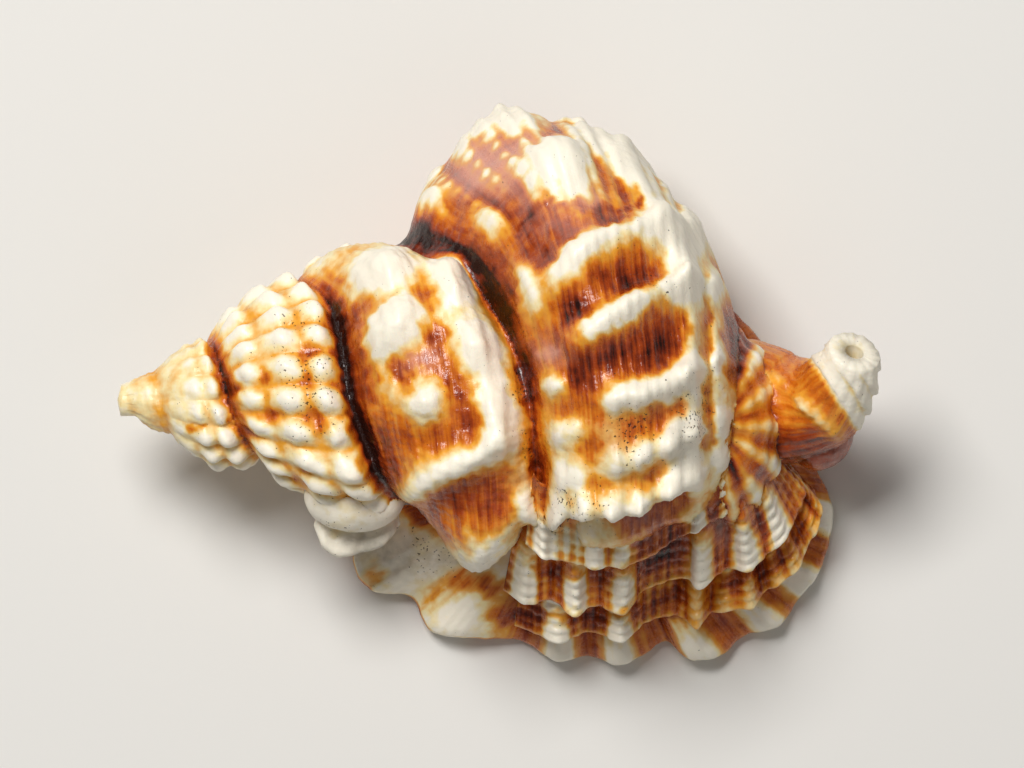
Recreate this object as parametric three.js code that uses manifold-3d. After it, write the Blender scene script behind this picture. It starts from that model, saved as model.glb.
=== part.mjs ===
// A distorsio shell, lying on the flat shield round its aperture.
// Millimetres, +Z up. +X runs from the apex to the siphonal canal, and the outer lip faces -Y.
import * as THREE from "three";
import { mergeVertices } from "three/addons/utils/BufferGeometryUtils.js";
import Module from "manifold-3d";

const wasm = await Module();
wasm.setup();

// Driving dimensions

const APEX_X = -34.2;
const AXIS = { y: -1.2, z: 14 };
const BASE_LENGTH = 57;
const CANAL_NECK = 4.5;
const BODY_FOOT = 0.5;

// The growth of the tube, in turns from the second whorl's back. Whole turns lie on the back of the shell.
// suture: distance from the apex to the seam where the whorl begins. neck: the seam's radius from the axis.
// swell: how far the whorl bulges past its two seams.
const GROWTH = [
  { turn: -2.5, suture: 0, neck: 1.4, swell: 0.1 },
  { turn: -1.5, suture: 2.4, neck: 2.2, swell: 0.4 },
  { turn: -1.25, suture: 3, neck: 2.5, swell: 0.8 },
  { turn: -1, suture: 3.8, neck: 2.7, swell: 1.2 },
  { turn: -0.75, suture: 4.8, neck: 3, swell: 1.7 },
  { turn: -0.5, suture: 6.4, neck: 3.8, swell: 1.5 },
  { turn: -0.25, suture: 8, neck: 5.2, swell: 1.7 },
  { turn: 0, suture: 9.7, neck: 5.2, swell: 2.6 },
  { turn: 0.25, suture: 12.7, neck: 4.8, swell: 2.2 },
  { turn: 0.5, suture: 14, neck: 7, swell: 1.6 },
  { turn: 0.75, suture: 16.2, neck: 10.6, swell: 2.5 },
  { turn: 0.85, suture: 19.4, neck: 9.8, swell: 3.6 },
  { turn: 1, suture: 21, neck: 9.3, swell: 4.4 },
  { turn: 1.1, suture: 23.2, neck: 9.3, swell: 4 },
  { turn: 1.25, suture: 26.6, neck: 9.3, swell: 2.4 },
  { turn: 1.5, suture: 25.6, neck: 11, swell: 8 },
  { turn: 1.625, suture: 25, neck: 12, swell: 12 },
  { turn: 1.75, suture: 24.9, neck: 12.4, swell: 16.2 },
  { turn: 1.875, suture: 33, neck: 12.6, swell: 14.2 },
  { turn: 2, suture: 37.2, neck: 12.6, swell: 11 },
  { turn: 2.125, suture: 38.2, neck: 12, swell: 8.8 },
  { turn: 2.18, suture: 38.3, neck: 11.7, swell: 7.4 },
  { turn: 2.25, suture: 38.4, neck: 11.3, swell: 5 },
  { turn: 2.5, suture: BASE_LENGTH, neck: CANAL_NECK, swell: 0 },
  { turn: 3.5, suture: BASE_LENGTH, neck: CANAL_NECK, swell: 0 },
];
// Outline of a whorl across its width: where it is fullest, and how it falls off on either side.
const ARCH = { peak: 0.4, rise: 0.8, fall: 3 };

// Beads of the early whorls, where the ribs cross the spiral cords.
const BEADS = { ribsPerTurn: 21, apexRibsPerTurn: 14, cords: 3, height: 1.3, lastTurn: 0.72 };
// Ribs on the far side of the body whorl, which carry on round from those on its back.
const FAR_RIBS = {
  ribsPerTurn: 18,
  apexRibsPerTurn: 18,
  cords: 5,
  height: 1.7,
  firstTurn: 1.3,
  lastTurn: 1.74,
};

// Ribs, cords and knobs on the back of the shell, each a line in plan with its half width and height.
const RIDGES = [
  // Penultimate whorl
  { line: [[-11.9, 9.2], [-8.8, 10.5]], width: 1.9, height: 2 },
  { line: [[-11.2, 3.8], [-7.7, 6.5]], width: 1.9, height: 2.1 },
  { line: [[-4.3, 11.4], [-3.1, 7.5], [-1.5, 3.8], [-0.2, -0.3], [0.6, -4.5]], width: 1.5, height: 1.3 },
  { line: [[-6.5, -1.4]], width: 1.6, height: 1.5 },
  { line: [[-8.1, -9.2], [-5.4, -7.5], [-2.5, -6.3], [0.5, -4.5]], width: 1.5, height: 1.6 },
  { line: [[-4.1, -13], [-1.5, -13.9], [1.4, -11.9]], width: 2, height: 2.4 },
  { line: [[2.8, -10.2]], width: 1.2, height: 1.1 },
  // Shoulder of the old lip on the second whorl
  { line: [[-15.2, -7.6], [-10.4, -7.4]], width: 1.8, height: 1.2 },
  // Row of knobs below the last suture
  { line: [[-5.9, 16.5]], width: 1.3, height: 1.3 },
  { line: [[-1, 14.1]], width: 1.4, height: 1.4 },
  { line: [[2.2, 9.9], [2.9, 6.6]], width: 1.3, height: 1.4 },
  { line: [[4.9, 0.1]], width: 1.3, height: 1.2 },
  { line: [[5.9, -4.1]], width: 1.3, height: 1.2 },
  { line: [[6.1, -8]], width: 1.5, height: 1.4 },
  // Ribs of the body whorl
  { line: [[-3.8, 21.5], [-1.7, 23.5], [0.7, 24.7], [3.2, 23.9]], width: 1.7, height: 1.4 },
  { line: [[7.1, 23.5], [9.4, 22.5], [12.6, 20.8]], width: 1.3, height: 1 },
  { line: [[1.2, 17.9], [3, 19.9], [5.7, 20.8], [8.1, 19.5]], width: 1.8, height: 1.6 },
  { line: [[4.8, 8.6], [7.1, 11.4], [9.4, 12.7], [15.5, 14.1], [18.5, 12.8]], width: 1.5, height: 1.6 },
  { line: [[6.8, 3.7], [9.4, 5.4], [13, 7.5], [15.8, 8.4], [18.2, 8.8]], width: 1.5, height: 1.7 },
  { line: [[10.5, -1], [13, -0.8], [15.5, 0.1], [17.9, 1.3]], width: 1.5, height: 1.8 },
  { line: [[10.8, -7], [13.9, -5.7], [16.3, -4.6], [18, -3.6]], width: 1.5, height: 1.6 },
  { line: [[3.9, -11.3], [6.3, -10.6], [10.5, -10.9], [13.5, -10.3], [17.8, -7.7]], width: 1.5, height: 1.9 },
  // Spiral cords of the body whorl
  { line: [[11.2, 21.1], [15.2, 14.3], [18.2, 8.8], [18, 1.3], [17.8, -7.7]], width: 1.2, height: 0.8 },
  { line: [[15.8, 18.4], [19.9, 8.8], [20.1, 2.1], [20.3, -6.5]], width: 1, height: 0.7 },
];

// Frills of the outer lip, each the scalloped edge of an earlier lip. reach: depth of its root in the whorl.
// heart: the stretch of the axis that it fans out from.
const FRILLS = [
  {
    edge: [
      [2.6, -14.2, 20.5], [4.3, -15.3, 20], [8.3, -16.2, 19.6], [12.9, -15.8, 19.4], [16.3, -13.8, 19.2],
      [20.3, -11.6, 17.8], [22.6, -8.6, 16.2], [23.6, -6, 15],
    ],
    heart: [4, 21], reach: 6.5, rise: 6.5, thickness: 1.7, sections: 28,
  },
  {
    edge: [
      [0.6, -18.4, 11.8], [3, -19.6, 12.2], [5, -19.4, 12], [6.9, -20.6, 12.8], [8.7, -19.9, 12.2],
      [11.5, -20.4, 12.8], [13.5, -18.5, 12], [17.1, -17.4, 12.2], [18.5, -18.1, 12.8], [21.1, -16.5, 12],
      [23, -16.4, 12.4], [25.7, -14.2, 11.6], [27.5, -11.3, 10.8], [28.1, -9.2, 10.4], [26.5, -6.8, 10.6],
    ],
    heart: [4, 21], reach: 8, rise: 8, thickness: 2, sections: 44,
  },
  {
    edge: [
      [1.6, -21.8, 6.4], [5.7, -23.1, 7.4], [8.5, -22.4, 6.6], [11.4, -23, 7.4], [13.9, -21.4, 6.4],
      [16.5, -20.9, 6.6], [18.2, -21.7, 7.4], [19.9, -20.4, 6.6], [23.2, -19.9, 7.2], [24.6, -18.5, 6.6],
      [27.3, -16.5, 7.2], [28.7, -13.7, 6.8], [29.5, -11.4, 7.2], [28.9, -9.4, 6.8],
    ],
    heart: [4, 21], reach: 10, rise: 6, thickness: 1.8, sections: 44,
  },
  // Ledge of an earlier rest in growth, on the second whorl
  {
    edge: [
      [-16.6, -12.4, 13.2], [-15.6, -14.4, 12.6], [-13.8, -15.1, 12.4], [-10.6, -14.2, 12.6], [-8.8, -12.4, 13],
    ],
    heart: [-13, -11], reach: 6, rise: 2.5, thickness: 1.8, sections: 12,
  },
];

// Smooth lobe above that ledge.
const OLD_LIP = { centre: [-12.9, -9.9, 15.8], radii: [4.6, 3.3, 2.9] };

// Shield round the aperture: its rim in plan with the height of its upper edge, then its dome.
const SHIELD = {
  rim: [
    [-13.2, -15.4, 3.4], [-11.4, -18.6, 2.4], [-7.9, -19.2, 2], [-6.1, -22.3, 2], [-2.5, -23, 2.6],
    [2.1, -23.2, 1.6], [5.3, -25.1, 2.6], [8.5, -24.6, 1.8], [11.2, -25.5, 2.6], [13.9, -24.2, 1.8],
    [15.5, -23.3, 1.6], [17.5, -24.9, 2.4], [20.3, -24.7, 2.4], [22.5, -22.8, 1.6], [25.7, -21.9, 2.4],
    [27.5, -19.5, 1.6], [29.4, -17.1, 2.2], [30.6, -13, 2], [30.4, -10.1, 2.4], [28, -5, 2],
    [25, 3, 1.6], [18, 10, 1.6], [9, 14, 1.6], [-1, 13, 1.6], [-9, 6, 1.8], [-12.5, -5, 2.4],
  ],
  centre: [8, -6],
  crown: 11,
  rings: 4,
  sectors: 80,
};

const CANAL = {
  path: [[17, -1, 12], [24.2, -1.4, 12], [28, -2.4, 13], [30.8, -1.6, 16], [32, 0.8, 19.5], [32.6, 3.2, 22]],
  radii: [6, 5.5, 5, 4, 3.3, 2.3],
  sides: 14,
  steps: 12,
};
const CANAL_BORE = {
  path: [[31, -1.2, 16.4], [32, 0.8, 19.5], [32.6, 3.2, 22], [33.2, 5.4, 24]],
  radii: [0.8, 1.3, 1.4, 1.5],
  sides: 10,
  steps: 6,
};

// Mouth of the shell, in the underside of the shield.
const APERTURE = { centre: [9, -7.5, 2], radii: [10, 4.6, 10], turn: 14 };

// Counts of facets along the axis and round it, closer together on the back than underneath.
const GRID = { along: 52, back: 45, under: 7, backReach: 118 };

// Curves and small maths

const lerp = THREE.MathUtils.lerp;
const smoothstep = THREE.MathUtils.smoothstep;

// A curve through the growth stations that never overshoots them.
function growthCurve(key) {
  const at = GROWTH.map((g) => g.turn);
  const value = GROWTH.map((g) => g[key]);
  const slope = at.slice(1).map((t, i) => (value[i + 1] - value[i]) / (t - at[i]));
  const tangent = value.map((_, i) => {
    if (i === 0 || i === slope.length) return 0;
    const [before, after] = [slope[i - 1], slope[i]];
    return before * after <= 0 ? 0 : (2 * before * after) / (before + after);
  });
  return (turn) => {
    if (turn <= at[0]) return value[0];
    const i = at.findIndex((t) => t >= turn) - 1;
    if (i < 0) return value.at(-1);
    const span = at[i + 1] - at[i];
    const u = (turn - at[i]) / span;
    const [u2, u3] = [u * u, u * u * u];
    return (
      value[i] * (2 * u3 - 3 * u2 + 1) + value[i + 1] * (3 * u2 - 2 * u3) +
      span * (tangent[i] * (u3 - 2 * u2 + u) + tangent[i + 1] * (u3 - u2))
    );
  };
}

const suture = growthCurve("suture");
const neck = growthCurve("neck");
const swell = growthCurve("swell");

// The whorl that a point of the surface is on: its turn, and how far it is across from seam to seam.
function whorlAt(along, angle) {
  for (let whorl = 3; whorl > -3; whorl--) {
    const turn = angle / (2 * Math.PI) + whorl;
    const start = suture(turn);
    if (along >= start && turn < 2.49) {
      const end = suture(turn + 1);
      return { turn, across: Math.min(1, (along - start) / Math.max(end - start, 0.1)) };
    }
  }
  return { turn: -2.5, across: 0 };
}

function arch(across) {
  if (across < ARCH.peak) return Math.sin((Math.PI / 2) * (across / ARCH.peak)) ** ARCH.rise;
  return 1 - ((across - ARCH.peak) / (1 - ARCH.peak)) ** ARCH.fall;
}

function whorlRadius({ turn, across }) {
  return lerp(neck(turn), neck(turn + 1), across) + swell(turn) * arch(across);
}

function wave(x) {
  return 0.5 + 0.5 * Math.cos(2 * Math.PI * x);
}

function lattice({ turn, across }, { ribsPerTurn, apexRibsPerTurn, cords, height }) {
  const early = Math.min(0, turn + 0.5);
  const rib = wave(turn * ribsPerTurn + early * (apexRibsPerTurn - ribsPerTurn));
  const cord = wave(across * cords - 0.5);
  const fade = smoothstep(across, 0, 0.12) * (1 - smoothstep(across, 0.88, 1));
  return height * fade * (0.2 * rib + 0.15 * cord + 0.65 * rib * cord - 0.25);
}

// A ridge is a chain of soft knobs along its line, close enough together to run into one.
function knobChain({ line, width, height }) {
  const knobs = [line[0]];
  for (let i = 1; i < line.length; i++) {
    const [[ax, ay], [bx, by]] = [line[i - 1], line[i]];
    const count = Math.ceil(Math.hypot(bx - ax, by - ay) / (0.6 * width));
    for (let k = 1; k <= count; k++) knobs.push([lerp(ax, bx, k / count), lerp(ay, by, k / count)]);
  }
  const sum = (x, y) => {
    let total = 0;
    for (const [kx, ky] of knobs) total += Math.exp(-((x - kx) ** 2 + (y - ky) ** 2) / width ** 2);
    return total;
  };
  const full = Math.max(...knobs.map(([x, y]) => sum(x, y)));
  return (x, y) => (height * sum(x, y)) / full;
}

const ridges = RIDGES.map(knobChain);

function ridgeRelief(x, y) {
  return ridges.reduce((total, ridge) => total + ridge(x, y), 0);
}

// Solids

function solidOf(geometry) {
  return new wasm.Manifold(new wasm.Mesh({
    numProp: 3,
    vertProperties: geometry.attributes.position.array,
    triVerts: new Uint32Array(geometry.index.array),
  }));
}

function solidFrom(vertices, triangles) {
  const geometry = new THREE.BufferGeometry();
  geometry.setAttribute("position", new THREE.Float32BufferAttribute(vertices.flat(), 3));
  geometry.setIndex(triangles.flat());
  return solidOf(mergeVertices(geometry, 1e-4));
}

// Closed skin over rings of points, each ring running the same way round, with a point at either end.
function ringSolid(rings, first, last) {
  const count = rings[0].length;
  const vertices = [...rings.flat(), first, last];
  const [start, end] = [vertices.length - 2, vertices.length - 1];
  const top = (rings.length - 1) * count;
  const triangles = [];
  for (let j = 0; j < count; j++) {
    const k = (j + 1) % count;
    triangles.push([start, k, j], [end, top + j, top + k]);
    for (let i = 0; i < rings.length - 1; i++) {
      const [a, b] = [i * count, (i + 1) * count];
      triangles.push([a + j, a + k, b + k], [a + j, b + k, b + j]);
    }
  }
  const solid = solidFrom(vertices, triangles);
  return solid.volume() > 0 ? solid : solidFrom(vertices, triangles.map(([a, b, c]) => [a, c, b]));
}

function whorlPoint(along, angle) {
  const place = whorlAt(along, angle);
  let radius = whorlRadius(place);
  if (place.turn < BEADS.lastTurn) radius += lattice(place, BEADS) * smoothstep(along, 3, 10);
  const far = smoothstep(place.turn, FAR_RIBS.firstTurn, FAR_RIBS.firstTurn + 0.05);
  if (place.turn < FAR_RIBS.lastTurn) radius += far * lattice(place, FAR_RIBS);
  const [x, y] = [APEX_X + along, AXIS.y - radius * Math.sin(angle)];
  radius += ridgeRelief(x, y) * smoothstep(Math.cos(angle), -0.35, 0.05);
  return [
    x,
    AXIS.y - radius * Math.sin(angle),
    Math.max(BODY_FOOT, AXIS.z + radius * Math.cos(angle)),
  ];
}

// Directions round the axis at which the whorls are drawn.
function whorlAngles() {
  const reach = THREE.MathUtils.degToRad(GRID.backReach);
  const angles = [];
  for (let j = 0; j < GRID.back; j++) angles.push(reach * ((2 * j) / GRID.back - 1));
  for (let j = 0; j < GRID.under; j++) angles.push(reach + 2 * (Math.PI - reach) * (j / GRID.under));
  return angles.map((a) => (a > Math.PI ? a - 2 * Math.PI : a));
}

function whorls() {
  const angles = whorlAngles();
  const rings = [];
  for (let i = 0; i <= GRID.along; i++) {
    const along = ((BASE_LENGTH + 0.6) * i) / GRID.along;
    rings.push(angles.map((angle) => whorlPoint(along, angle)));
  }
  const tip = [APEX_X - 0.4, AXIS.y, AXIS.z];
  const base = [APEX_X + BASE_LENGTH + 0.8, AXIS.y, AXIS.z];
  return ringSolid(rings, tip, base);
}

function frill({ edge, heart, reach, rise, thickness, sections }) {
  const curve = new THREE.CatmullRomCurve3(edge.map((p) => new THREE.Vector3(...p)));
  const rings = [];
  for (let i = 0; i <= sections; i++) {
    const p = curve.getPoint(i / sections);
    const root = new THREE.Vector3(THREE.MathUtils.clamp(p.x, ...heart), AXIS.y, p.z);
    const inward = root.sub(p).normalize();
    const at = (share, drop) => {
      const q = p.clone().addScaledVector(inward, reach * share);
      return [q.x, q.y, p.z + rise * share ** 1.3 - drop];
    };
    const upper = [at(0, 0), at(0.4, 0), at(1, 0)];
    const lower = [at(1, thickness), at(0, 0.6 * thickness)];
    rings.push([...upper, ...lower]);
  }
  const middle = (ring) => [0, 1, 2].map((k) => ring.reduce((sum, q) => sum + q[k], 0) / ring.length);
  return ringSolid(rings, middle(rings[0]), middle(rings.at(-1)));
}

function shield() {
  const { rim, centre, crown, rings: count, sectors } = SHIELD;
  const curve = new THREE.CatmullRomCurve3(rim.map((p) => new THREE.Vector3(...p)), true);
  const edge = [];
  for (let j = 0; j < sectors; j++) edge.push(curve.getPoint(j / sectors));
  const ringAt = (share, height) => edge.map((p) => [
    lerp(centre[0], p.x, share),
    lerp(centre[1], p.y, share),
    height(p.z),
  ]);
  const rings = [ringAt(0.985, () => 0)];
  for (let i = count; i > 0; i--) {
    const share = i / count;
    rings.push(ringAt(share, (z) => lerp(crown, z, share ** 1.6)));
  }
  return ringSolid(rings, [...centre, 0], [...centre, crown]);
}

function tube({ path, radii, sides, steps }) {
  const curve = new THREE.CatmullRomCurve3(path.map((p) => new THREE.Vector3(...p)));
  const frames = curve.computeFrenetFrames(steps);
  const rings = [];
  for (let i = 0; i <= steps; i++) {
    const station = (i / steps) * (radii.length - 1);
    const k = Math.min(radii.length - 2, Math.floor(station));
    const radius = lerp(radii[k], radii[k + 1], station - k);
    const middle = curve.getPointAt(i / steps);
    const ring = [];
    for (let j = 0; j < sides; j++) {
      const a = (2 * Math.PI * j) / sides;
      const sideways = frames.normals[i].clone().multiplyScalar(radius * Math.cos(a));
      sideways.addScaledVector(frames.binormals[i], radius * Math.sin(a));
      ring.push(middle.clone().add(sideways).toArray());
    }
    rings.push(ring);
  }
  return ringSolid(rings, curve.getPointAt(0).toArray(), curve.getPointAt(1).toArray());
}

function ellipsoid({ centre, radii, turn = 0 }, sides) {
  const ball = new THREE.SphereGeometry(1, sides, sides / 2);
  ball.scale(...radii);
  ball.rotateZ(THREE.MathUtils.degToRad(turn));
  ball.translate(...centre);
  ball.deleteAttribute("normal");
  ball.deleteAttribute("uv");
  return solidOf(mergeVertices(ball, 1e-4));
}

let shellSolid = whorls().add(shield()).add(tube(CANAL));
for (const lip of FRILLS) shellSolid = shellSolid.add(frill(lip));
shellSolid = shellSolid.add(ellipsoid(OLD_LIP, 16));
shellSolid = shellSolid.subtract(ellipsoid(APERTURE, 20)).subtract(tube(CANAL_BORE));

const { vertProperties, triVerts } = shellSolid.getMesh();
const geometry = new THREE.BufferGeometry();
geometry.setAttribute("position", new THREE.BufferAttribute(vertProperties, 3));
geometry.setIndex(new THREE.BufferAttribute(triVerts, 1));
geometry.computeVertexNormals();

const nacre = new THREE.MeshStandardMaterial({ color: 0xd9a05b, roughness: 0.4, metalness: 0 });
const shell = new THREE.Mesh(geometry, nacre);
shell.name = "shell";

const group = new THREE.Group();
group.add(shell);
export default group;
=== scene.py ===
import math
from functools import partial

import bpy
import numpy as np
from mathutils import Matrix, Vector, kdtree


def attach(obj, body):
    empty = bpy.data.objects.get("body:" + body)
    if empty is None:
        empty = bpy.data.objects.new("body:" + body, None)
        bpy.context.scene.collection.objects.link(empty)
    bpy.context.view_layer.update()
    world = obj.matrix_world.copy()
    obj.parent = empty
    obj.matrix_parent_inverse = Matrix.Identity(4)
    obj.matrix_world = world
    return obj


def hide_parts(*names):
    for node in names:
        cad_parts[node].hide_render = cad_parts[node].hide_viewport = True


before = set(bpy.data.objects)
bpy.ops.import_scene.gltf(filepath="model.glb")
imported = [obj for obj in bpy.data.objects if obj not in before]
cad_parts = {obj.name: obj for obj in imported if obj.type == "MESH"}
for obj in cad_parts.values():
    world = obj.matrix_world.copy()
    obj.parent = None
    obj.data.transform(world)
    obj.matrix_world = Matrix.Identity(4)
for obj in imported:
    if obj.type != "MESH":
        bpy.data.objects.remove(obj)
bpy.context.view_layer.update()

bl_info = {
    "name": "Distorsio Shell",
    "version": (1, 0, 0),
    "blender": (4, 5, 0),
    "location": "View3D > Sidebar > Shell",
    "description": "Grows a knobbed, frilled sea shell over its plain solid and sets it in a studio",
    "category": "Add Mesh",
}

MM = 0.001


# Shape of the shell, in millimetres. The whorls coil round a line along X.

APEX_X = -34.2
AXIS_Y = -1.2
AXIS_Z = 14.0
BASE_LENGTH = 57.0
BODY_FOOT = 0.5

# Growth of the tube: turn, distance of the seam from the apex, radius of the seam, swell of the whorl.
GROWTH = np.array([
    (-2.5, 0, 1.4, 0.1), (-1.5, 2.4, 2.2, 0.4), (-1.25, 3, 2.5, 0.8), (-1, 3.8, 2.7, 1.2),
    (-0.75, 4.8, 3, 1.7), (-0.5, 6.4, 3.8, 1.5), (-0.25, 8, 5.2, 1.7), (0, 9.7, 5.2, 2.6),
    (0.25, 12.7, 4.8, 2.2), (0.5, 14, 7, 1.6), (0.75, 16.2, 10.6, 2.5), (0.85, 19.4, 9.8, 3.6),
    (1, 21, 9.3, 4.4), (1.1, 23.2, 9.3, 4), (1.25, 26.6, 9.3, 2.4), (1.5, 25.6, 11, 8),
    (1.625, 25, 12, 12), (1.75, 24.9, 12.4, 16.2), (1.875, 33, 12.6, 14.2), (2, 37.2, 12.6, 11),
    (2.125, 38.2, 12, 8.8), (2.18, 38.3, 11.7, 7.4), (2.25, 38.4, 11.3, 5),
    (2.5, BASE_LENGTH, 4.5, 0), (3.5, BASE_LENGTH, 4.5, 0),
])
ARCH_PEAK = 0.4
ARCH_RISE = 0.8
ARCH_FALL = 3.0

# Ribs, knobs and hollows on the back: line in plan, half width, height, and how far it is bleached.
RIDGES = [
    # Penultimate whorl
    ([(-11.9, 9.2), (-8.8, 10.5)], 1.9, 2.1, 0.85),
    ([(-11.2, 3.8), (-7.7, 6.5)], 1.8, 2.3, 0.85),
    ([(-4.3, 11.2), (-3.5, 8)], 1.7, 1.9, 0.8),
    ([(-2.4, 5), (-1.4, 2.6)], 1.6, 1.7, 0.75),
    ([(-0.4, -1), (0.6, -4.5)], 1.4, 1.5, 0.7),
    ([(-6.5, -1.4)], 1.5, 1.7, 0.6),
    ([(-8.1, -9.2), (-5.4, -7.5), (-2.5, -6.3), (0.5, -4.5)], 1.4, 1.8, 0.7),
    ([(-4.1, -13), (-1.5, -13.9), (1.4, -11.9)], 2.0, 2.4, 0.35),
    ([(-1.9, -13.4)], 1.2, 0.5, 0.5),
    ([(2.8, -10.2)], 1.2, 1.1, 0.6),
    ([(-15.2, -7.6), (-10.4, -7.4)], 1.8, 1.2, 0.0),
    # Row of knobs below the last seam
    ([(-5.9, 16.5)], 1.2, 1.6, 0.75),
    ([(-1, 14.1)], 1.3, 1.8, 0.9),
    ([(2.2, 9.9), (2.9, 6.6)], 1.2, 1.8, 1.0),
    ([(4.9, 0.1)], 1.2, 1.6, 0.9),
    ([(5.9, -4.1)], 1.2, 1.6, 0.7),
    ([(6.1, -8)], 1.4, 1.8, 0.8),
    # Ribs of the body whorl
    ([(-3.8, 21.3), (-1.7, 23.1), (0.7, 24), (3.2, 23.3)], 1.5, 1.0, 0.8),
    ([(7.1, 23.2), (9.4, 22.2), (12.6, 20.6)], 1.3, 0.8, 0.9),
    ([(3, 19.2), (5.7, 20.6), (7.6, 19.4)], 1.7, 2.0, 1.0),
    ([(4.8, 8.6), (7.1, 11.4), (9.4, 12.7), (15.5, 14.1), (18.5, 12.8)], 1.4, 1.9, 0.95),
    ([(6.8, 3.7), (9.4, 5.4), (13, 7.5), (15.8, 8.4), (18.2, 8.8)], 1.3, 2.1, 0.95),
    ([(10.5, -1), (13, -0.8), (15.5, 0.1), (17.9, 1.3)], 1.3, 2.0, 0.85),
    ([(10.8, -7), (13.9, -5.7), (16.3, -4.6), (18, -3.6)], 1.3, 1.7, 0.5),
    ([(3.9, -11), (6.3, -10.3), (10.5, -10.6), (13.5, -10), (17.8, -7.7)], 1.2, 2.5, 0.6),
    # Hollows under the last ribs
    ([(2.5, -13.4), (8, -13.6), (13, -12.8), (16.8, -10.4)], 1.4, -2.4, 0.0),
    ([(2.5, -16.8), (8, -17.3), (13, -16.6), (17, -14.5)], 1.6, -2.2, 0.0),
    # Spiral cords of the body whorl, with their knobs and the groove between them
    ([(11.2, 21.1), (15.2, 14.3), (17.6, 8.8), (17.7, 1.3), (17.5, -7.7)], 1.0, 1.1, 0.25),
    ([(15.8, 18.4), (19.9, 8.8), (20.1, 2.1), (20.3, -6.5)], 0.8, 1.0, 0.2),
    ([(16, 16.6), (18.8, 10.5), (19, 5), (19, -2), (18.8, -6)], 0.6, -0.9, 0.0),
    ([(16.9, 11)], 1.0, 0.6, 0.5),
    ([(17.6, 8.6)], 1.0, 1.0, 0.8),
    ([(17.8, 1.2)], 1.0, 1.0, 0.7),
    ([(17.8, -3.6)], 1.0, 1.0, 0.7),
    ([(17.3, -7.8)], 1.1, 0.8, 0.6),
    ([(19.9, 8)], 0.9, 0.9, 0.8),
    ([(20.1, 2.1)], 0.9, 0.9, 0.7),
    ([(20.2, -2.5)], 0.9, 0.9, 0.7),
    ([(20.3, -6.5)], 0.9, 0.9, 0.7),
]

# Frills of the lip: scalloped edge, stretch of the axis it fans from, root depth, root rise, thickness,
# and the white lobes along its edge with their half width.
FRILLS = [
    {
        "edge": [
            (2.6, -14.2, 20.5), (4.3, -15.3, 20), (8.3, -16.2, 19.6), (12.9, -15.8, 19.4),
            (16.3, -13.8, 19.2), (20.3, -11.6, 17.8), (22.9, -8.8, 16.2), (24, -6, 15.2),
        ],
        "heart": (4, 21), "reach": 6.5, "rise": 6.5, "thickness": 1.7,
        "lobes": [(4.2, -15.3), (8.8, -16.2), (11.4, -16), (18.2, -12.6), (20.6, -11.3), (22.6, -9.2)],
        "lobe_width": 0.9,
        "ground": 0.5,
    },
    {
        "edge": [
            (0.6, -18.4, 11.8), (3, -19.6, 12.2), (5, -19.4, 12), (6.9, -20.6, 12.8), (8.7, -19.9, 12.2),
            (11.5, -20.4, 12.8), (13.5, -18.5, 12), (17.1, -17.4, 12.2), (18.5, -18.1, 12.8),
            (21.1, -16.5, 12), (23, -16.4, 12.4), (25.7, -14.2, 11.6), (27.5, -11.3, 10.8),
            (28.1, -9.2, 10.4), (26.5, -6.8, 10.6),
        ],
        "heart": (4, 21), "reach": 8, "rise": 8, "thickness": 2.0,
        "lobes": [(2.4, -19.2), (7.2, -20.5), (11.6, -20.4), (18.4, -18.1), (22.8, -16.4), (25.9, -13.8)],
        "lobe_width": 1.4, "ground": 0.62,
    },
    {
        "edge": [
            (1.6, -21.8, 6.4), (5.7, -23.1, 7.4), (8.5, -22.4, 6.6), (11.4, -23, 7.4), (13.9, -21.4, 6.4),
            (16.5, -20.9, 6.6), (18.2, -21.7, 7.4), (19.9, -20.4, 6.6), (23.2, -19.9, 7.2),
            (24.6, -18.5, 6.6), (27.3, -16.5, 7.2), (28.7, -13.7, 6.8), (29.5, -11.4, 7.2),
            (28.9, -9.4, 6.8),
        ],
        "heart": (4, 21), "reach": 10, "rise": 6, "thickness": 1.8,
        "lobes": [(5.5, -23.1), (11.2, -23)],
        "stained": [
            (18.2, -21.7), (20.9, -20.2), (23.2, -19.9), (25.6, -17.8), (27.3, -16.5), (29, -13),
            (29.5, -10.8),
        ],
        "lobe_width": 1.2, "ground": 0.54,
    },
    {
        "edge": [
            (-16.6, -12.4, 13.2), (-15.6, -14.4, 12.6), (-13.8, -15.1, 12.4), (-10.6, -14.2, 12.6),
            (-8.8, -12.4, 13),
        ],
        "heart": (-13, -11), "reach": 6, "rise": 2.5, "thickness": 1.8,
        "lobes": [(-15.6, -14.4), (-13.8, -15.1), (-10.6, -14.2)], "lobe_width": 2.6, "ground": 0.16,
        "cord_gap": 3.0,
    },
]

# Smooth lobe of an earlier lip, above its ledge.
OLD_LIP_CENTRE = (-12.9, -9.9, 15.8)
OLD_LIP_RADII = (4.6, 3.3, 2.9)

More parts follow.
